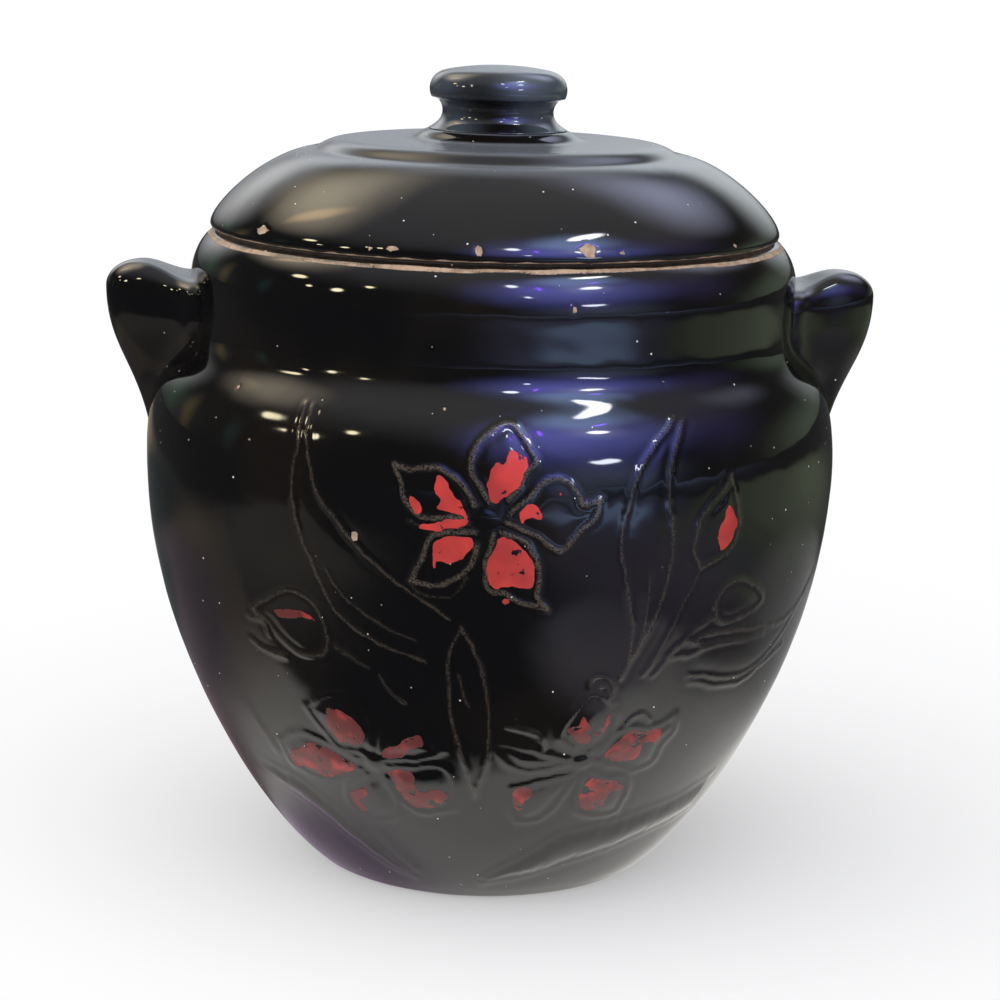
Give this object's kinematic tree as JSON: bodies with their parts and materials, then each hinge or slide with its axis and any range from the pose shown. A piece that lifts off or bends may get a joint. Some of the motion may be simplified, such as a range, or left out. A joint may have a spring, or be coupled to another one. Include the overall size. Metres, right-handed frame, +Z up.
{
  "type": "bean pot",
  "caption": "Round-bellied stoneware bean pot in glossy black glaze, with raised flowers picked out in red, side lug handles and a domed lift-off lid with a turned knob.",
  "frame": {"origin": "centre of the foot, on the plane that the pot stands on", "axes": "+Z up through the knob, +X through the right ear, -Y towards the decorated front"},
  "size_m": [0.2118, 0.19, 0.2205],
  "materials": {
    "black_glaze": "high gloss near-black glaze with a blue and violet cast and small pinholes",
    "bare_clay": "unglazed tan stoneware, matt, at the rim line, the foot and small chips",
    "red_paint": "worn red paint over the glaze, on the petals only"
  },
  "bodies": {
    "pot": {"pot_body": "black_glaze", "handle_left": "black_glaze", "handle_right": "black_glaze"},
    "lid": {"lid": "black_glaze", "knob": "black_glaze"}
  },
  "joints": [
    {"name": "lid_lift", "type": "slide", "parent": "pot", "child": "lid", "axis": [0, 0, 1], "range_m": [0, 0.12]}
  ]
}
